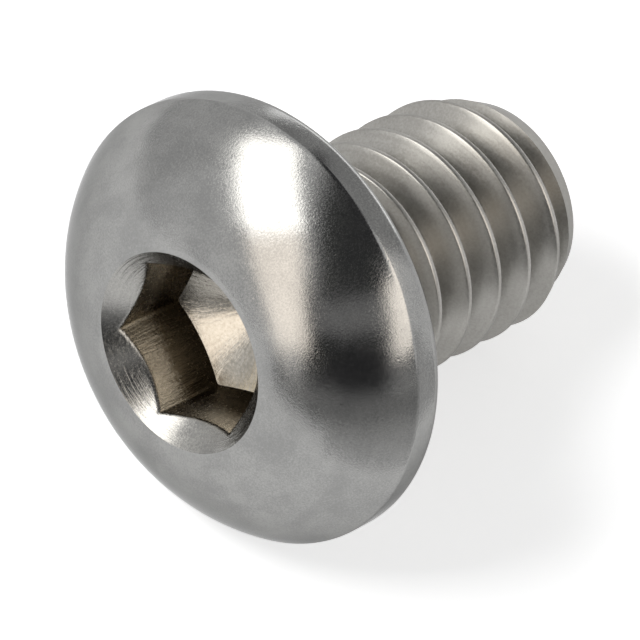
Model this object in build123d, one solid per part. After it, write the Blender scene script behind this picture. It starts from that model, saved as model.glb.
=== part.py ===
from build123d import *
from math import asin, atan2, degrees, hypot, radians, tan
import os

# Button head screw with a hex socket and a coarse M4 thread, one solid of stainless steel.
# It is modelled upright: the bearing plane under the head is z = 0, the head stands above
# it and the shank hangs below. At the end it is laid on its side, as it comes to rest.

# Head
head_diameter = 7.24
head_height = 1.97
rim_height = 0.56  # the straight band under the dome
dome_radius = 2.87
crown_land = 0.05  # flat ring between the dome and the countersink
rim_top_round = 0.12
rim_bottom_round = 0.2

# Hex socket
across_flats = 2.5
socket_depth = 1.52  # from the crown to the corners of the floor
socket_corner_round = 0.06
socket_floor_angle = 130.0  # the punch leaves a shallow cone
countersink_diameter = 3.26
countersink_angle = 90.0
countersink_foot = 0.9  # how far in it reaches, as a share of the hexagon's inner radius
socket_turn = 52.4  # clocking of the hexagon about the axis

# Shank and thread
shank_length = 5.45
thread_diameter = 3.9  # over the crests, as rolled
pitch = 0.7
flank_angle = 60.0
crest_width = 0.08
neck_length = 0.55  # plain shank under the head
seat_clearance = 0.05  # from the crests' circle out to the edge of the bearing ring
runout_angle = 40.0  # the ridge fades out at the neck under a cone this steep
neck_angle = 45.0  # the neck steps down to the core over a cone
tip_step = 0.02  # how far the flat end's edge lies inside the thread's root
tip_angle = 58.0  # between the axis and the chamfer
thread_turn = 236.0  # clocking of the thread about the axis

# Metric profile in pitches: the ridge's height, and how far the unrolled blank lies inside it
profile_height = 0.6134
blank_inset = 0.3248

head_radius = head_diameter / 2
countersink_radius = countersink_diameter / 2
crest_radius = thread_diameter / 2
root_radius = crest_radius - profile_height * pitch
neck_radius = crest_radius - blank_inset * pitch
neck_fillet = crest_radius + seat_clearance - neck_radius
tip_radius = root_radius - tip_step
tip_slope = tan(radians(tip_angle))
flank_slope = tan(radians(flank_angle / 2))
runout_slope = tan(radians(runout_angle))
neck_slope = tan(radians(neck_angle))

ridge_foot = 0.06  # how far the ridge reaches into the core
margin = 1.0  # how far a cutting shape stands clear of the screw
tilt_steps = 400  # places along the last two turns tried as the resting point
run_ins = (1.3, 1.0, 0.7, 1.6, 0.85)  # pitches by which the ridge may begin beyond the tip


def turned(outline):
    """The solid that an outline in (radius, height) sweeps about the screw's axis."""
    return revolve(Plane.XZ * make_face(outline), Axis.Z)


def rounded(outline, corner, radius):
    """The outline's face with the corner nearest to a point rounded off."""
    return fillet(outline.vertices().sort_by_distance(corner)[0], radius)


def blank():
    """Head, neck and threadless core in one turning."""
    crown = Vector(countersink_radius + crown_land, head_height)
    rim_top = Vector(head_radius, rim_height)
    rim_bottom = Vector(head_radius, 0)
    neck_top = Vector(neck_radius, 0)
    core_top = -neck_length - (neck_radius - root_radius) / neck_slope
    core_end = -shank_length + (root_radius - tip_radius) / tip_slope

    dome = RadiusArc(crown, rim_top, dome_radius)
    shank = Polyline(
        rim_top,
        rim_bottom,
        neck_top,
        (neck_radius, -neck_length),
        (root_radius, core_top),
        (root_radius, core_end),
        (tip_radius, -shank_length),
        (0, -shank_length),
        (0, head_height),
        crown,
    )
    section = make_face(dome + shank)
    section = rounded(section, rim_top, rim_top_round)
    section = rounded(section, rim_bottom, rim_bottom_round)
    section = rounded(section, neck_top, neck_fillet)
    return revolve(Plane.XZ * section, Axis.Z)


def socket():
    """The punched hexagon with its conical floor and the countersink at its mouth."""
    above = head_height + margin
    hexagon = RegularPolygon(across_flats / 2, 6, major_radius=False, rotation=socket_turn)
    corner_radius = hexagon.vertices()[0].center().length
    floor_edge = head_height - socket_depth
    floor_tip = floor_edge - corner_radius / tan(radians(socket_floor_angle / 2))
    hexagon = fillet(hexagon.vertices(), socket_corner_round)
    prism = extrude(Pos(0, 0, floor_tip) * hexagon, above - floor_tip)
    punch = turned(
        Polyline(
            (0, floor_tip),
            (corner_radius, floor_edge),
            (corner_radius, above),
            (0, above),
            close=True,
        )
    )
    cone_slope = tan(radians(countersink_angle / 2))
    cone_foot = countersink_foot * across_flats / 2
    cone_depth = (countersink_radius - cone_foot) / cone_slope
    countersink = turned(
        Polyline(
            (0, head_height - cone_depth),
            (cone_foot, head_height - cone_depth),
            (countersink_radius + margin * cone_slope, above),
            (0, above),
            close=True,
        )
    )
    return (prism & punch) + countersink


def thread(run_in):
    """The rolled ridge: a trapezoid swept up a helix, cut back at the tip and at the neck.

    It begins on the X axis, as many pitches beyond the tip as run_in."""
    thread_start = -shank_length - run_in * pitch
    thread_end = -neck_length + pitch / 2
    foot_radius = root_radius - ridge_foot
    half_crest = crest_width / 2
    half_foot = half_crest + (crest_radius - foot_radius) * flank_slope
    section = Polyline(
        (foot_radius, thread_start - half_foot),
        (crest_radius, thread_start - half_crest),
        (crest_radius, thread_start + half_crest),
        (foot_radius, thread_start + half_foot),
        close=True,
    )
    helix = Helix(pitch, thread_end - thread_start, root_radius, center=(0, 0, thread_start))
    ridge = sweep(Plane.XZ * make_face(section), helix, is_frenet=True)

    wide = crest_radius + margin
    beyond_tip = turned(Polyline(
        (0, -shank_length),
        (tip_radius, -shank_length),
        (wide, -shank_length + (wide - tip_radius) / tip_slope),
        (wide, thread_start - margin),
        (0, thread_start - margin),
        close=True,
    ))
    above_runout = turned(Polyline(
        (0, -neck_length + foot_radius / runout_slope),
        (wide, -neck_length - (wide - foot_radius) / runout_slope),
        (wide, -neck_length + foot_radius / runout_slope),
        close=True,
    ))
    return ridge - beyond_tip - above_runout

def rolled():
    """The blank with its thread.

    The fusion can lose a helical ridge without a word, depending on where the ridge begins.
    So it is begun further out, and turned back by as much, until the blank has grown by it."""
    plain = blank()
    for run_in in run_ins:
        ridge = thread(run_in)
        screw = plain + ridge
        if len(screw.solids()) == 1 and screw.volume > plain.volume + ridge.volume / 2:
            return Rot(0, 0, thread_turn - 360 * run_in) * screw
    raise ValueError("the thread doesn't fuse with the blank at these sizes")

def thread_radius(height, turn):
    """How far the thread stands out at a height, on the line at an angle about the axis."""
    crest = -shank_length + pitch * (turn - thread_turn) / 360
    off_crest = abs((height - crest + pitch / 2) % pitch - pitch / 2)
    ridge = crest_radius - max(0, off_crest - crest_width / 2) / flank_slope
    tip = tip_radius + (height + shank_length) * tip_slope
    return min(ridge, tip)


def resting_tilt():
    """The slope of the axis when the rim and the thread's last crest touch the surface."""
    heights = [-shank_length + 2 * pitch * step / tilt_steps for step in range(tilt_steps)]
    slopes = []
    for height in heights:
        along = rim_bottom_round - height
        across = head_radius - rim_bottom_round - thread_radius(height, 180)
        slope = atan2(across, along) + asin(rim_bottom_round / hypot(across, along))
        slopes.append(degrees(slope))
    return min(slopes)


def laid_down(screw, tilt):
    """The screw on its side, tip towards +X, with the middle of its foot at the origin."""
    lying = Rot(0, tilt - 90, 0) * screw
    box = lying.bounding_box()
    return Pos(-box.center().X, -box.center().Y, -box.min.Z) * lying


tilt = resting_tilt()
button_head_screw = laid_down(rolled() - socket(), tilt)
button_head_screw.label = "button_head_screw"

os.makedirs("parts", exist_ok=True)
export_step(button_head_screw, "parts/button_head_screw.step")
print("tilt", round(tilt, 3), "box", button_head_screw.bounding_box())
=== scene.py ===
from math import atan2, cos, hypot, pi, radians, sin, tan

import bmesh
import bpy
from mathutils import Matrix, Vector


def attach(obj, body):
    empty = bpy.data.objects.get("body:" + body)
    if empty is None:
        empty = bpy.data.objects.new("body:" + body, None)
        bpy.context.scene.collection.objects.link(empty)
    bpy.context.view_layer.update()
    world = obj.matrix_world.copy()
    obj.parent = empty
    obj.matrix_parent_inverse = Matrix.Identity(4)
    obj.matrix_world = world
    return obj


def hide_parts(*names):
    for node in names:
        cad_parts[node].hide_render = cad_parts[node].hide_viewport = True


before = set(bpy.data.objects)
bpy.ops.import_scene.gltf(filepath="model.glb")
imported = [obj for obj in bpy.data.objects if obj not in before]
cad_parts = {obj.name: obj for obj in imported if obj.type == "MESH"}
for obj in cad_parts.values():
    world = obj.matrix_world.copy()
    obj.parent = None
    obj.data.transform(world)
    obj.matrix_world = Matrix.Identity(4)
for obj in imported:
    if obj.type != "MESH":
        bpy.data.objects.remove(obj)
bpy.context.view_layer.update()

# Lengths are in millimetres on the upright screw, with the bearing plane at z = 0.
headSizes = {
    "radius": 3.62,
    "height": 1.97,
    "rimHeight": 0.56,
    "domeRadius": 2.87,
    "land": 0.05,  # flat ring between the countersink and the dome
    "rimTopRound": 0.12,
    "rimBottomRound": 0.2,
    "neckShare": 0.9,  # how much of the neck is in the head's mesh
    "aroundSteps": 360,
    "domeCuts": 34,
    "rimTopSegments": 5,
    "rimBottomSegments": 6,
    "filletSegments": 7,
}
socketSizes = {
    "acrossFlats": 2.5,
    "depth": 1.52,
    "floorAngle": 130.0,
    "countersinkRadius": 1.63,
    "countersinkAngle": 90.0,
    "turn": 52.4,
    "cornerRound": 0.07,
    "lipBreak": 0.035,
    "floorCuts": 14,
    "wallCuts": 11,
    "countersinkCuts": 5,
    "lipSegments": 3,
}
threadSizes = {
    "length": 5.417,
    "crestRadius": 1.95,
    "rootRadius": 1.5206,
    "neckRadius": 1.7226,
    "pitch": 0.7,
    "flankAngle": 60.0,
    "crestWidth": 0.08,
    "crestRound": 0.035,
    "rootRound": 0.09,
    "neckLength": 0.55,
    "neckFillet": 0.2774,
    "neckAngle": 45.0,
    "runoutAngle": 40.0,
    "runoutFoot": 1.4606,
    "tipRadius": 1.6,
    "tipAngle": 24.3,
    "tipSpare": 0.02,  # kept below the tip until its cone is cut
    "tipRings": (0.6, 0.2),  # rings of the end face, as shares of the tip's radius
    "topShare": 0.95,  # where the thread's mesh ends on the neck
    "turn": 253.0,
    "spareTurns": 4,  # past both ends, cut away again
    "aroundSteps": 288,
    "flankCuts": 5,
    "crestSegments": 3,
    "rootSegments": 4,
}
restPose = {"tilt": 18.2485, "bearing": (-1.6139, 0.0, 3.3863)}

# how near counts as the same place, in millimetres
near = {"plane": 1e-6, "vertex": 1e-5, "sliver": 2e-5, "surface": 1e-4, "face": 1e-3}
toMetres = 0.001


def radiusOf(vert):
    return hypot(vert.co.x, vert.co.y)


def angleOf(vert):
    return atan2(vert.co.y, vert.co.x)


def setRadius(vert, radius):
    scale = radius / radiusOf(vert)
    vert.co.x *= scale
    vert.co.y *= scale


def coneSlope(angle):
    # height per unit of radius on a cone with this angle between its sides
    return 1 / tan(radians(angle / 2))


def madeOf(geom, kind):
    return [item for item in geom if isinstance(item, kind)]


def drawOutline(bm, points):
    # a chain of vertices in the xz plane, from (radius, height) pairs
    verts = [bm.verts.new((radius, 0, height)) for radius, height in points]
    for first, second in zip(verts, verts[1:]):
        bm.edges.new((first, second))


def vertAt(bm, point):
    return min(bm.verts, key=lambda vert: hypot(vert.co.x - point[0], vert.co.z - point[1]))


def roundCorner(bm, point, radius, segments):
    vert = vertAt(bm, point)
    before, after = [edge.other_vert(vert).co - vert.co for edge in vert.link_edges]
    turn = pi - before.angle(after)
    bmesh.ops.bevel(bm, geom=[vert], offset=radius * tan(turn / 2), affect="VERTICES",
                    segments=segments, profile=0.5, material=-1)


def divide(bm, start, end, cuts):
    # splits the outline's straight run between two neighbouring corners
    edge = bm.edges.get((vertAt(bm, start), vertAt(bm, end)))
    bmesh.ops.subdivide_edges(bm, edges=[edge], cuts=cuts)


def turnOutline(bm, turn, steps, rise=0.0, merge=False):
    # spins the outline once round the axis, from its own starting angle
    bmesh.ops.rotate(bm, verts=bm.verts, cent=(0, 0, 0),
                     matrix=Matrix.Rotation(radians(turn), 3, "Z"))
    bmesh.ops.spin(bm, geom=bm.verts[:] + bm.edges[:], cent=(0, 0, 0), axis=(0, 0, 1),
                   dvec=(0, 0, rise / steps), angle=2 * pi, steps=steps, use_merge=merge)


def onRun(point, start, end):
    along = end - start
    share = (point - start).dot(along) / along.length_squared
    return 0 <= share <= 1 and (start + along * share - point).length < near["vertex"]


def bendDome(bm, crown, rimTop, radius):
    # moves the vertices of a straight run onto the dome's arc
    start, end = Vector(crown), Vector(rimTop)
    half = (end - start) / 2
    normal = Vector((half.y, -half.x)).normalized()
    if normal.x > 0:
        normal.negate()
    centre = start + half + normal * (radius ** 2 - half.length_squared) ** 0.5
    run = [v for v in bm.verts if onRun(Vector((v.co.x, v.co.z)), start, end)]
    for vert in run:
        arm = (Vector((vert.co.x, vert.co.z)) - centre).normalized() * radius
        vert.co.x, vert.co.z = centre.x + arm.x, centre.y + arm.y


def hexRadius(angle):
    # distance from the axis to the wall of the rounded hexagon
    half = socketSizes["acrossFlats"] / 2
    off = (angle - radians(socketSizes["turn"])) % (pi / 3) - pi / 6
    rounding = socketSizes["cornerRound"]
    corner = (half - rounding) / cos(pi / 6)
    toCorner = pi / 6 - abs(off)
    flat = half / cos(off)
    aside = corner * sin(toCorner)
    if rounding * sin(pi / 6) > aside:
        return min(flat, corner * cos(toCorner) + (rounding ** 2 - aside ** 2) ** 0.5)
    return flat


def socketFloorTip():
    corner = socketSizes["acrossFlats"] / 2 / cos(pi / 6)
    return headSizes["height"] - socketSizes["depth"] - corner * coneSlope(socketSizes["floorAngle"])


def openSocket(bm):
    # pulls the turned hole's rings out to the hexagon, and up or down onto the two cones
    half = socketSizes["acrossFlats"] / 2
    mouth = socketSizes["countersinkRadius"]
    top = headSizes["height"]
    floorSlope = coneSlope(socketSizes["floorAngle"])
    mouthSlope = coneSlope(socketSizes["countersinkAngle"])
    floorTip = socketFloorTip()
    nominalFoot = floorTip + half * floorSlope
    nominalLip = top - (mouth - half) * mouthSlope
    for vert in bm.verts:
        radius = radiusOf(vert)
        outside = radius > mouth + near["surface"] or vert.co.z < floorTip - near["surface"]
        if outside or radius < near["plane"]:
            continue
        wall = hexRadius(angleOf(vert))
        foot = floorTip + wall * floorSlope
        lip = top - (mouth - wall) * mouthSlope
        if radius < half - near["surface"]:  # the floor
            share = radius / half
            reach = radius * (1 + (wall / half - 1) * share ** 2)
            setRadius(vert, reach)
            vert.co.z = floorTip + reach * floorSlope
        elif radius < half + near["surface"]:  # the wall
            share = (vert.co.z - nominalFoot) / (nominalLip - nominalFoot)
            setRadius(vert, wall)
            vert.co.z = foot + share * (lip - foot)
        elif vert.co.z < top + near["plane"]:  # the countersink
            share = (radius - half) / (mouth - half)
            reach = wall + share * (mouth - wall)
            setRadius(vert, reach)
            vert.co.z = top - (mouth - reach) * mouthSlope


def breakLip(bm):
    # takes the sharpness off the edge where the hexagon meets the countersink
    mouthSlope = coneSlope(socketSizes["countersinkAngle"])

    def onLip(vert):
        wall = hexRadius(angleOf(vert))
        lip = headSizes["height"] - (socketSizes["countersinkRadius"] - wall) * mouthSlope
        return abs(radiusOf(vert) - wall) < near["surface"] and abs(vert.co.z - lip) < near["surface"]

    lipEdges = [e for e in bm.edges if onLip(e.verts[0]) and onLip(e.verts[1])]
    bmesh.ops.bevel(bm, geom=lipEdges, offset=socketSizes["lipBreak"], affect="EDGES",
                    segments=socketSizes["lipSegments"], profile=0.5, material=-1)


def buildHead():
    bm = bmesh.new()
    half = socketSizes["acrossFlats"] / 2
    mouth = socketSizes["countersinkRadius"]
    top = headSizes["height"]
    floorTip = socketFloorTip()
    foot = floorTip + half * coneSlope(socketSizes["floorAngle"])
    lip = top - (mouth - half) * coneSlope(socketSizes["countersinkAngle"])
    crown = (mouth + headSizes["land"], top)
    rimTop = (headSizes["radius"], headSizes["rimHeight"])
    rimBottom = (headSizes["radius"], 0)
    neckTop = (threadSizes["neckRadius"], 0)
    neckFoot = (threadSizes["neckRadius"], -threadSizes["neckLength"] * headSizes["neckShare"])
    socket = [(0, floorTip), (half, foot), (half, lip), (mouth, top)]
    drawOutline(bm, socket + [crown, rimTop, rimBottom, neckTop, neckFoot])
    cuts = (socketSizes["floorCuts"], socketSizes["wallCuts"], socketSizes["countersinkCuts"])
    for start, end, count in zip(socket, socket[1:], cuts):
        divide(bm, start, end, count)
    divide(bm, crown, rimTop, headSizes["domeCuts"])
    bendDome(bm, crown, rimTop, headSizes["domeRadius"])
    roundCorner(bm, neckTop, threadSizes["neckFillet"], headSizes["filletSegments"])
    roundCorner(bm, rimBottom, headSizes["rimBottomRound"], headSizes["rimBottomSegments"])
    roundCorner(bm, rimTop, headSizes["rimTopRound"], headSizes["rimTopSegments"])
    turnOutline(bm, socketSizes["turn"], headSizes["aroundSteps"], merge=True)
    bmesh.ops.remove_doubles(bm, verts=bm.verts, dist=near["vertex"])
    openSocket(bm)
    breakLip(bm)
    print("head", len(bm.faces), "faces")
    return bm


def cutAcross(bm, height, outward=1, clear=False):
    # cuts at a height, and clears what lies outward of it if asked to
    bmesh.ops.bisect_plane(bm, geom=bm.verts[:] + bm.edges[:] + bm.faces[:], dist=near["plane"],
                           plane_co=(0, 0, height), plane_no=(0, 0, outward), clear_outer=clear)


def cutOnCone(bm, height, radius, slope):
    # cuts along the cone whose radius grows by slope per unit of height above the given circle:
    # sheared along the axis, the cone is a flat plane
    def shear(sign):
        for vert in bm.verts:
            vert.co.z += sign * (radiusOf(vert) - radius) / slope
    shear(-1)
    cutAcross(bm, height)
    shear(1)


def rollRidge(bm):
    # one turn of the rounded ridge, repeated along the axis
    pitch, crest, root = (threadSizes[name] for name in ("pitch", "crestRadius", "rootRadius"))
    halfCrest = threadSizes["crestWidth"] / 2
    halfFoot = halfCrest + (crest - root) * tan(radians(threadSizes["flankAngle"] / 2))
    start = -threadSizes["length"] - pitch
    lowFoot, highFoot = (root, start - halfFoot), (root, start + halfFoot)
    lowCrest, highCrest = (crest, start - halfCrest), (crest, start + halfCrest)
    drawOutline(bm, [(root, start - pitch / 2), lowFoot, lowCrest, highCrest, highFoot,
                     (root, start + pitch / 2)])
    divide(bm, lowFoot, lowCrest, threadSizes["flankCuts"])
    divide(bm, highCrest, highFoot, threadSizes["flankCuts"])
    for point in (lowCrest, highCrest):
        roundCorner(bm, point, threadSizes["crestRound"], threadSizes["crestSegments"])
    for point in (lowFoot, highFoot):
        roundCorner(bm, point, threadSizes["rootRound"], threadSizes["rootSegments"])
    turnOutline(bm, threadSizes["turn"], threadSizes["aroundSteps"], rise=pitch)
    oneTurn = bm.verts[:] + bm.edges[:] + bm.faces[:]
    turns = int((threadSizes["length"] - threadSizes["neckLength"]) / pitch)
    for turn in range(1, turns + threadSizes["spareTurns"]):
        copy = bmesh.ops.duplicate(bm, geom=oneTurn)["geom"]
        bmesh.ops.translate(bm, vec=(0, 0, turn * pitch), verts=madeOf(copy, bmesh.types.BMVert))
    bmesh.ops.remove_doubles(bm, verts=bm.verts, dist=near["surface"])
    print("ridge", len(bm.faces), "faces")


def cutTip(bm):
    # the lead-in cone at the tip, and the flat end
    end, radius = -threadSizes["length"], threadSizes["tipRadius"]
    slope = tan(radians(threadSizes["tipAngle"]))
    cutAcross(bm, end - threadSizes["tipSpare"], outward=-1, clear=True)
    cutOnCone(bm, end, radius, slope)
    for vert in bm.verts:
        limit = radius + (vert.co.z - end) * slope
        if radiusOf(vert) > limit > 0:
            setRadius(vert, limit)
    cutAcross(bm, end, outward=-1, clear=True)


def fadeRidge(bm):
    # the ridge fades out under a cone, and the core rises to the neck on another
    neckEnd, neckRadius = -threadSizes["neckLength"], threadSizes["neckRadius"]
    foot = threadSizes["runoutFoot"]
    runoutSlope = tan(radians(threadSizes["runoutAngle"]))
    neckSlope = tan(radians(threadSizes["neckAngle"]))
    cutAcross(bm, neckEnd)
    cutOnCone(bm, neckEnd, foot, -runoutSlope)
    cutOnCone(bm, neckEnd, neckRadius, neckSlope)
    for vert in bm.verts:
        below = neckEnd - vert.co.z
        core = neckRadius - max(0, below) * neckSlope
        setRadius(vert, max(core, min(radiusOf(vert), foot + below * runoutSlope)))
    cutAcross(bm, neckEnd * threadSizes["topShare"], clear=True)


def capTip(bm):
    # closes the flat end with rings of faces down to a point on the axis
    end = -threadSizes["length"]
    rim = [e for e in bm.edges if e.is_boundary and e.verts[0].co.z < end + near["face"]]
    for share in threadSizes["tipRings"]:
        made = bmesh.ops.extrude_edge_only(bm, edges=rim)["geom"]
        rim = [e for e in madeOf(made, bmesh.types.BMEdge) if e.is_boundary]
        for vert in {v for e in rim for v in e.verts}:
            setRadius(vert, threadSizes["tipRadius"] * share)
    middle = bmesh.ops.extrude_edge_only(bm, edges=rim)["geom"]
    bmesh.ops.pointmerge(bm, verts=madeOf(middle, bmesh.types.BMVert), merge_co=(0, 0, end))


def buildThread():
    bm = bmesh.new()
    rollRidge(bm)
    cutTip(bm)
    fadeRidge(bm)
    capTip(bm)
    print("thread", len(bm.faces), "faces")
    return bm


def placeOnSide(bm):
    # from the upright screw in millimetres to the lying one in metres
    bmesh.ops.rotate(bm, verts=bm.verts, cent=(0, 0, 0),
                     matrix=Matrix.Rotation(radians(restPose["tilt"] - 90), 3, "Y"))
    bmesh.ops.translate(bm, verts=bm.verts, vec=restPose["bearing"])
    bmesh.ops.scale(bm, verts=bm.verts, vec=(toMetres, toMetres, toMetres))


finishes = ["tumbledSteel", "bearingSteelPaintedPale", "punchedWallPaintedShade", "socketFloorPaintedWarmLight", "countersinkSteel",
            "rolledSteel"]
finishBounds = {"wallNormal": 0.25, "slack": 0.02}  # steepest normal of a wall, and slack at an edge


def finishOf(face):
    # which tool left each face, told by its place on the upright screw
    centre = face.calc_center_median()
    radius = hypot(centre.x, centre.y)
    if centre.z < -near["face"] and radius < threadSizes["crestRadius"] + finishBounds["slack"]:
        return "rolledSteel"
    if centre.z < near["face"]:
        return "bearingSteelPaintedPale"
    if radius > socketSizes["countersinkRadius"] - near["face"]:
        return "tumbledSteel"
    if abs(face.normal.z) < finishBounds["wallNormal"]:
        return "punchedWallPaintedShade"
    if centre.z < headSizes["height"] - socketSizes["depth"] + finishBounds["slack"]:
        return "socketFloorPaintedWarmLight"
    return "countersinkSteel"


def placeMesh(name, bm):
    mesh = bpy.data.meshes.new(name)
    bm.to_mesh(mesh)
    piece = bpy.data.objects.new(name, mesh)
    bpy.context.scene.collection.objects.link(piece)
    return piece


sharpAngle = 24.0  # edges that bend more than this stay sharp


def buildScrew():
    bm = buildHead()
    mesh = bpy.data.meshes.new("thread")
    buildThread().to_mesh(mesh)
    bm.from_mesh(mesh)
    bpy.data.meshes.remove(mesh)
    bmesh.ops.bridge_loops(bm, edges=[e for e in bm.edges if e.is_boundary])
    bmesh.ops.dissolve_degenerate(bm, dist=near["sliver"], edges=bm.edges)
    bmesh.ops.triangulate(bm, faces=[f for f in bm.faces if len(f.verts) > 4])
    bmesh.ops.recalc_face_normals(bm, faces=bm.faces)
    for face in bm.faces:
        face.material_index = finishes.index(finishOf(face))
    placeOnSide(bm)
    screw = placeMesh("buttonHeadScrew", bm)
    screw.data.shade_smooth()
    screw.data.set_sharp_from_angle(angle=radians(sharpAngle))
    print("screw", len(bm.faces), "faces")
    return screw


def setSockets(tree, node, sockets):
    # each socket gets a plain value, or a link from another node's output
    for name, value in sockets.items():
        if isinstance(value, bpy.types.NodeSocket):
            tree.links.new(value, node.inputs[name])
        else:
            node.inputs[name].default_value = value


def addNode(tree, kind, sockets):
    node = tree.nodes.new(kind)
    setSockets(tree, node, sockets)
    return node


def addGroup(tree, group, sockets):
    node = tree.nodes.new("ShaderNodeGroup")
    node.node_tree = group
    setSockets(tree, node, sockets)
    return node.outputs


def mathNode(tree, operation, *values):
    node = tree.nodes.new("ShaderNodeMath")
    node.operation = operation
    setSockets(tree, node, dict(enumerate(values)))
    return node.outputs["Value"]


def mixOf(tree, shares, base=0.0):
    # adds up the outputs, each times its share, onto a base
    for output, share in shares:
        base = mathNode(tree, "MULTIPLY_ADD", output, share, base)
    return base


def rampNode(tree, value, low, high, fromValue=0.0, toValue=1.0):
    node = addNode(tree, "ShaderNodeMapRange", {"Value": value, "From Min": low, "From Max": high,
                                                "To Min": fromValue, "To Max": toValue})
    node.interpolation_type = "SMOOTHSTEP"
    return node.outputs["Result"]


def noiseNode(tree, vector, scale, detail, rough):
    node = addNode(tree, "ShaderNodeTexNoise",
                   {"Vector": vector, "Scale": scale, "Detail": detail, "Roughness": rough})
    return node.outputs["Fac"]


def newGroup(name, inputs, outputs):
    group = bpy.data.node_groups.new(name, "ShaderNodeTree")
    for side, sockets in (("INPUT", inputs), ("OUTPUT", outputs)):
        for socket, kind in sockets.items():
            group.interface.new_socket(name=socket, in_out=side, socket_type="NodeSocket" + kind)
    source = group.nodes.new("NodeGroupInput")
    return group, source.outputs, group.nodes.new("NodeGroupOutput")


def makeAxisGroup():
    # the upright screw's own coordinates in millimetres, and the same wrapped round its axis:
    # X is the angle in radians, Y the radius and Z the height above the bearing plane
    group, _, result = newGroup("screwAxis", {}, {"Upright": "Vector", "Wrapped": "Vector"})
    place = group.nodes.new("ShaderNodeTexCoord")
    mapping = addNode(group, "ShaderNodeMapping",
                      {"Vector": place.outputs["Object"],
                       "Location": [value * toMetres for value in restPose["bearing"]],
                       "Rotation": (0, radians(restPose["tilt"] - 90), 0),
                       "Scale": (toMetres, toMetres, toMetres)})
    mapping.vector_type = "TEXTURE"
    upright = mapping.outputs["Vector"]
    x, y, z = addNode(group, "ShaderNodeSeparateXYZ", {"Vector": upright}).outputs
    squares = mathNode(group, "MULTIPLY_ADD", y, y, mathNode(group, "MULTIPLY", x, x))
    wrapped = addNode(group, "ShaderNodeCombineXYZ", {"X": mathNode(group, "ARCTAN2", y, x),
                                                      "Y": mathNode(group, "SQRT", squares), "Z": z})
    setSockets(group, result, {"Upright": upright, "Wrapped": wrapped.outputs["Vector"]})
    return group


grainValues = {"cloudScale": 1.1, "cloudDetail": 4.0, "cloudRough": 0.55,
               "speckleDetail": 4.0, "speckleRough": 0.62, "dentRim": 0.42}


def makeGrainGroup():
    # a slow cloud, a fine speckle and scattered small dents
    group, source, result = newGroup(
        "metalGrain",
        {"Vector": "Vector", "Speckle Scale": "Float", "Dent Scale": "Float", "Dent Share": "Float"},
        {"Cloud": "Float", "Speckle": "Float", "Dents": "Float"})
    vector = source["Vector"]
    cloud = noiseNode(group, vector, grainValues["cloudScale"], grainValues["cloudDetail"],
                      grainValues["cloudRough"])
    speckle = noiseNode(group, vector, source["Speckle Scale"], grainValues["speckleDetail"],
                        grainValues["speckleRough"])
    cells = addNode(group, "ShaderNodeTexVoronoi",
                    {"Vector": vector, "Scale": source["Dent Scale"], "Randomness": 1}).outputs
    dented = mathNode(group, "LESS_THAN", cells["Color"], source["Dent Share"])
    depth = rampNode(group, cells["Distance"], 0.0, grainValues["dentRim"], 1.0, 0.0)
    dents = mathNode(group, "MULTIPLY", dented, depth)
    setSockets(group, result, {"Cloud": cloud, "Speckle": speckle, "Dents": dents})
    return group


markValues = {"scale": 1.0, "detail": 5.0, "rough": 0.6}


def makeMarksGroup():
    # long marks that a tool leaves along one direction of the vector it is given
    group, source, result = newGroup("toolMarks", {"Vector": "Vector", "Stretch": "Vector"},
                                     {"Marks": "Float"})
    stretched = group.nodes.new("ShaderNodeVectorMath")
    stretched.operation = "MULTIPLY"
    setSockets(group, stretched, {0: source["Vector"], 1: source["Stretch"]})
    marks = noiseNode(group, stretched.outputs["Vector"], markValues["scale"], markValues["detail"],
                      markValues["rough"])
    setSockets(group, result, {"Marks": marks})
    return group


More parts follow.
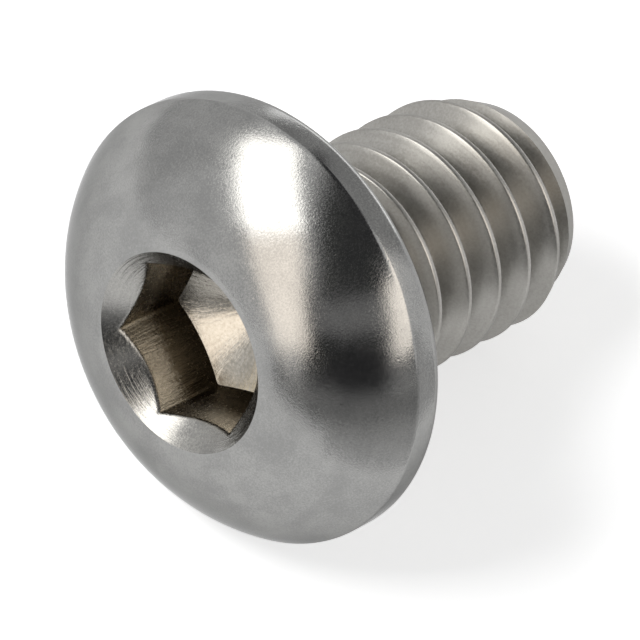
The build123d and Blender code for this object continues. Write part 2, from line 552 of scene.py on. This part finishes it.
# colours, roughness and depths (in millimetres) of each finish; the lift pales it upwards: painted
# shade deep in the socket, lighter towards its mouth
finishValues = {
    "tumbledSteel": {
        "dark": (0.242, 0.242, 0.238), "light": (0.335, 0.334, 0.326), "rough": (0.12, 0.2),
        "speckle": 34.0, "dentScale": 12.0, "dentShare": 0.14, "stretch": (3.0, 3.0, 3.0),
        "speckleDepth": 0.0015, "dentDepth": 0.0012, "markDepth": 0.0008, "recessShadeLift": 0.0},
    # painted reflection: the head's underside is the same steel as the dome, painted paler so that the
    # thread's flanks, which mirror it, show it brighter
    "bearingSteelPaintedPale": {
        "dark": (0.5, 0.495, 0.48), "light": (0.62, 0.61, 0.59), "rough": (0.2, 0.3),
        "speckle": 26.0, "dentScale": 8.0, "dentShare": 0.08, "stretch": (1.5, 20.0, 20.0),
        "speckleDepth": 0.001, "dentDepth": 0.001, "markDepth": 0.002, "recessShadeLift": 0.0},
    "countersinkSteel": {
        "dark": (0.265, 0.261, 0.252), "light": (0.375, 0.37, 0.352), "rough": (0.18, 0.28),
        "speckle": 26.0, "dentScale": 7.0, "dentShare": 0.1, "stretch": (2.0, 26.0, 26.0),
        "speckleDepth": 0.001, "dentDepth": 0.001, "markDepth": 0.007, "recessShadeLift": 0.0},
    # painted light: the walls' brown tint stands in for warm light bounced round inside the socket, and
    # the lift adds painted shade deeper down
    "punchedWallPaintedShade": {
        "dark": (0.2, 0.165, 0.115), "light": (0.56, 0.52, 0.45), "rough": (0.13, 0.28),
        "speckle": 22.0, "dentScale": 6.0, "dentShare": 0.1, "stretch": (30.0, 4.0, 2.4),
        "speckleDepth": 0.001, "dentDepth": 0.001, "markDepth": 0.014, "recessShadeLift": 0.2},
    # painted light: the floor's warm cream tint stands in for warm light bounced round inside the
    # socket
    "socketFloorPaintedWarmLight": {
        "dark": (0.275, 0.256, 0.222), "light": (0.41, 0.39, 0.352), "rough": (0.12, 0.22),
        "speckle": 20.0, "dentScale": 5.0, "dentShare": 0.15, "stretch": (10.0, 2.0, 2.0),
        "speckleDepth": 0.0012, "dentDepth": 0.002, "markDepth": 0.005, "recessShadeLift": 0.0},
    "rolledSteel": {
        "dark": (0.3, 0.291, 0.273), "light": (0.385, 0.377, 0.358), "rough": (0.29, 0.38),
        "speckle": 24.0, "dentScale": 6.0, "dentShare": 0.06, "stretch": (1.2, 12.0, 12.0),
        "speckleDepth": 0.0009, "dentDepth": 0.001, "markDepth": 0.0012, "recessShadeLift": 0.0},
}
# how every finish mixes its cloud, speckle and marks
mixValues = {
    "specularTint": (0.55, 0.55, 0.55, 1),  # dulls the grazing edges
    "toneShares": {"Marks": 0.2, "Cloud": 0.35, "Speckle": 0.45}, "toneRange": (0.38, 0.62),
    "roughShares": {"Cloud": 0.4, "Speckle": 0.6}, "roughRange": (0.4, 0.6),
    "recessShadeRange": (0.75, 1.5),  # heights between which the socket's walls go from painted shade to pale
    "bumpDistance": 0.001,
}


def makeFinish(name, axisGroup, grainGroup, marksGroup):
    values = finishValues[name]
    material = bpy.data.materials.new(name)
    material.use_nodes = True
    tree = material.node_tree
    axis = addGroup(tree, axisGroup, {})
    grain = addGroup(tree, grainGroup, {
        "Vector": axis["Upright"], "Speckle Scale": values["speckle"],
        "Dent Scale": values["dentScale"], "Dent Share": values["dentShare"]})
    marks = addGroup(tree, marksGroup, {"Vector": axis["Wrapped"], "Stretch": values["stretch"]})
    layers = {"Marks": marks["Marks"], "Cloud": grain["Cloud"], "Speckle": grain["Speckle"]}

    def blend(shares, base=0.0):
        return mixOf(tree, [(layers[layer], share) for layer, share in shares.items()], base)

    height = addNode(tree, "ShaderNodeSeparateXYZ", {"Vector": axis["Wrapped"]}).outputs["Z"]
    # painted shade: the socket's walls darken deeper down and pale towards the mouth
    lift = rampNode(tree, height, *mixValues["recessShadeRange"], -values["recessShadeLift"], values["recessShadeLift"])
    tone = blend(mixValues["toneShares"], lift)
    colour = tree.nodes.new("ShaderNodeMix")
    colour.data_type = "RGBA"
    setSockets(tree, colour, {"A": (*values["dark"], 1), "B": (*values["light"], 1),
                              "Factor": rampNode(tree, tone, *mixValues["toneRange"])})
    rough = rampNode(tree, blend(mixValues["roughShares"]), *mixValues["roughRange"], *values["rough"])
    relief = mixOf(tree, [(layers["Marks"], values["markDepth"]),
                          (grain["Dents"], -values["dentDepth"]),
                          (layers["Speckle"], values["speckleDepth"])])
    bump = addNode(tree, "ShaderNodeBump", {"Height": relief, "Strength": 1,
                                            "Distance": mixValues["bumpDistance"]})
    setSockets(tree, tree.nodes["Principled BSDF"], {
        "Metallic": 1, "Specular Tint": mixValues["specularTint"],
        "Base Color": colour.outputs["Result"], "Roughness": rough, "Normal": bump.outputs["Normal"]})
    return material


def seenRays(tree):
    # 1 for what the camera, a mirror or glass sees, 0 for what lights the object
    path = tree.nodes.new("ShaderNodeLightPath").outputs
    mirrored = mathNode(tree, "MAXIMUM", path["Is Glossy Ray"], path["Is Transmission Ray"])
    return mathNode(tree, "MAXIMUM", path["Is Camera Ray"], mirrored)


floorValues = {"size": 0.6, "colour": (0.8, 0.8, 0.8, 1), "rough": 0.9, "glow": 0.62}


def makeFloor():
    bm = bmesh.new()
    bmesh.ops.create_grid(bm, x_segments=1, y_segments=1, size=floorValues["size"])
    floor = placeMesh("paleFloor", bm)
    material = bpy.data.materials.new("paleFloor")
    material.use_nodes = True
    tree = material.node_tree
    glow = mathNode(tree, "MULTIPLY", seenRays(tree), floorValues["glow"])
    setSockets(tree, tree.nodes["Principled BSDF"], {
        "Base Color": floorValues["colour"], "Roughness": floorValues["rough"], "Specular IOR Level": 0,
        "Emission Color": (1, 1, 1, 1), "Emission Strength": glow})
    floor.data.materials.append(material)


worldValues = {"seen": 1.0, "light": 0.3}


def makeWorld():
    world = bpy.data.worlds.new("studio")
    bpy.context.scene.world = world
    world.use_nodes = True
    tree = world.node_tree
    strength = rampNode(tree, seenRays(tree), 0.0, 1.0, worldValues["light"], worldValues["seen"])
    setSockets(tree, tree.nodes["Background"], {"Color": (1, 1, 1, 1), "Strength": strength})


def direction(azimuth, elevation):
    # azimuth 0 looks from -Y, 90 from +X
    a, e = radians(azimuth), radians(elevation)
    return Vector((sin(a) * cos(e), -cos(a) * cos(e), sin(e)))


lampValues = {"azimuth": -134, "elevation": 58, "distance": 0.3, "width": 0.16, "height": 0.1,
              "power": 0.5}


def makeLamp():
    light = bpy.data.lights.new("softbox", "AREA")
    light.shape = "RECTANGLE"
    light.size, light.size_y = lampValues["width"], lampValues["height"]
    light.energy = lampValues["power"]
    lamp = bpy.data.objects.new("softbox", light)
    way = direction(lampValues["azimuth"], lampValues["elevation"])
    facing = way.to_track_quat("Z", "Y").to_matrix().to_4x4()
    lamp.matrix_world = Matrix.Translation(way * lampValues["distance"]) @ facing
    lamp.visible_glossy = False  # the white card is its reflection
    bpy.context.scene.collection.objects.link(lamp)


# cards round the screw that only its reflections show: azimuth and elevation of each corner
studioCards = {
    "whiteCard": {"corners": [(-172.0, 47.0), (166.0, 66.5), (-87.0, 60.5), (-111.0, 35.0)],
                  "colour": (1.0, 0.98, 0.94), "glow": 5.0, "distance": 0.26},
    "creamCard": {"corners": [(-111.0, 34.5), (-88.0, 59.5), (-72.0, 13.2), (-88.3, 3.2)],
                  "colour": (1.0, 0.92, 0.83), "glow": 2.7, "distance": 0.27},
    "creamSide": {"corners": [(-16.0, 44.0), (58.0, 30.0), (47.0, 18.0), (-23.0, 12.5)],
                  "colour": (1.0, 0.93, 0.85), "glow": 2.6, "distance": 0.26},
    "whiteSide": {"corners": [(78.0, 9.0), (130.0, 9.0), (130.0, 0.3), (78.0, 0.3)],
                  "colour": (1.0, 1.0, 1.0), "glow": 3.0, "distance": 0.3},
    "darkOver": {"corners": [(-66.0, 34.0), (-19.0, 42.0), (110.0, 25.0), (-84.0, 79.0)],
                 "colour": (0.95, 0.97, 1.0), "glow": 0.07, "distance": 0.28},
    "darkFront": {"corners": [(-72.5, 19.0), (-26.0, 27.0), (-27.0, 0.3), (-75.0, 0.3)],
                  "colour": (0.95, 0.97, 1.0), "glow": 0.05, "distance": 0.28},
    "greyFront": {"corners": [(-74.0, 50.0), (-14.0, 50.0), (0.0, 0.5), (-78.0, 0.5)],
                  "colour": (1.0, 1.0, 1.0), "glow": 0.36, "distance": 0.45},
    "greyOver": {"corners": [(-75.0, 48.0), (60.0, 38.0), (115.0, 45.0), (-150.0, 82.0)],
                 "colour": (1.0, 1.0, 1.0), "glow": 0.4, "distance": 0.5},
    "greySide": {"corners": [(60.0, 42.0), (135.0, 42.0), (135.0, 11.0), (60.0, 11.0)],
                 "colour": (1.0, 1.0, 1.0), "glow": 0.5, "distance": 0.45},
    "greyBack": {"corners": [(-150.0, 42.0), (150.0, 42.0), (150.0, 1.0), (-150.0, 1.0)],
                 "colour": (1.0, 1.0, 1.0), "glow": 0.8, "distance": 0.45},
}
# painted shade in the reflection: grey sheets on the floor in front that only the screw's reflections
# show, laid one on the other, darker outwards: azimuth and distance of each corner
floorReflectionShades = {
    "firstShadeSheet": {"corners": [(-56.0, 0.0112), (30.0, 0.0092), (44.0, 0.3), (-68.0, 0.3)],
                   "glow": 0.86},
    "secondShadeSheet": {"corners": [(-58.0, 0.0136), (28.0, 0.0108), (40.0, 0.3), (-70.0, 0.3)],
                    "glow": 0.74},
    "thirdShadeSheet": {"corners": [(-60.0, 0.016), (24.0, 0.0126), (34.0, 0.3), (-76.0, 0.3)],
                   "glow": 0.62},
    "fourthShadeSheet": {"corners": [(-70.0, 0.019), (10.0, 0.0156), (22.0, 0.32), (-84.0, 0.32)],
                    "glow": 0.5},
    "fifthShadeSheet": {"corners": [(-80.0, 0.0225), (-2.0, 0.0198), (10.0, 0.34), (-88.0, 0.34)],
                   "glow": 0.39},
    "farShadeSheet": {"corners": [(-88.0, 0.027), (-12.0, 0.026), (0.0, 0.35), (-92.0, 0.35)],
                 "glow": 0.3},
}
shadeSheetStep = 0.0001  # how far each sheet lies above the one before


def makeCard(name, corners, colour, glow):
    bm = bmesh.new()
    bmesh.ops.contextual_create(bm, geom=[bm.verts.new(corner) for corner in corners])
    card = placeMesh(name, bm)
    material = bpy.data.materials.new(name)
    material.use_nodes = True
    tree = material.node_tree
    tree.nodes.remove(tree.nodes["Principled BSDF"])
    light = addNode(tree, "ShaderNodeEmission", {"Color": (*colour, 1), "Strength": glow})
    setSockets(tree, tree.nodes["Material Output"], {"Surface": light.outputs["Emission"]})
    card.data.materials.append(material)
    card.visible_camera = False
    card.visible_diffuse = False
    card.visible_shadow = False


def makeCards():
    for name, values in studioCards.items():
        corners = [direction(*corner) * values["distance"] for corner in values["corners"]]
        makeCard(name, corners, values["colour"], values["glow"])
    # the floor sheets paint darker reflections of the floor in front of the screw
    for layer, (name, values) in enumerate(floorReflectionShades.items(), start=1):
        lift = Vector((0, 0, layer * shadeSheetStep))
        corners = [direction(azimuth, 0) * distance + lift for azimuth, distance in values["corners"]]
        makeCard(name, corners, (1, 1, 1), values["glow"])


cameraView = {"azimuth": -45.26, "elevation": 51.24, "distance": 0.12302, "lens": 450.0, "sensor": 36,
              "nearest": 0.01, "target": (-0.001115, -0.000672, 0.003306)}


def makeCamera():
    data = bpy.data.cameras.new("camera")
    data.lens = cameraView["lens"]
    data.sensor_width = cameraView["sensor"]
    data.clip_start = cameraView["nearest"]
    camera = bpy.data.objects.new("camera", data)
    way = direction(cameraView["azimuth"], cameraView["elevation"])
    right = direction(cameraView["azimuth"] + 90, 0)
    turn = Matrix((right, way.cross(right), way)).transposed().to_4x4()
    place = Vector(cameraView["target"]) + way * cameraView["distance"]
    camera.matrix_world = Matrix.Translation(place) @ turn
    bpy.context.scene.collection.objects.link(camera)
    bpy.context.scene.camera = camera


screw = buildScrew()
groups = makeAxisGroup(), makeGrainGroup(), makeMarksGroup()
for finish in finishes:
    screw.data.materials.append(makeFinish(finish, *groups))
print("finishes", len(finishes))
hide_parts("button_head_screw")
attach(screw, "root")
makeFloor()
makeWorld()
makeLamp()
makeCards()
makeCamera()
bpy.context.scene.view_settings.view_transform = "Standard"
print("studio ready")
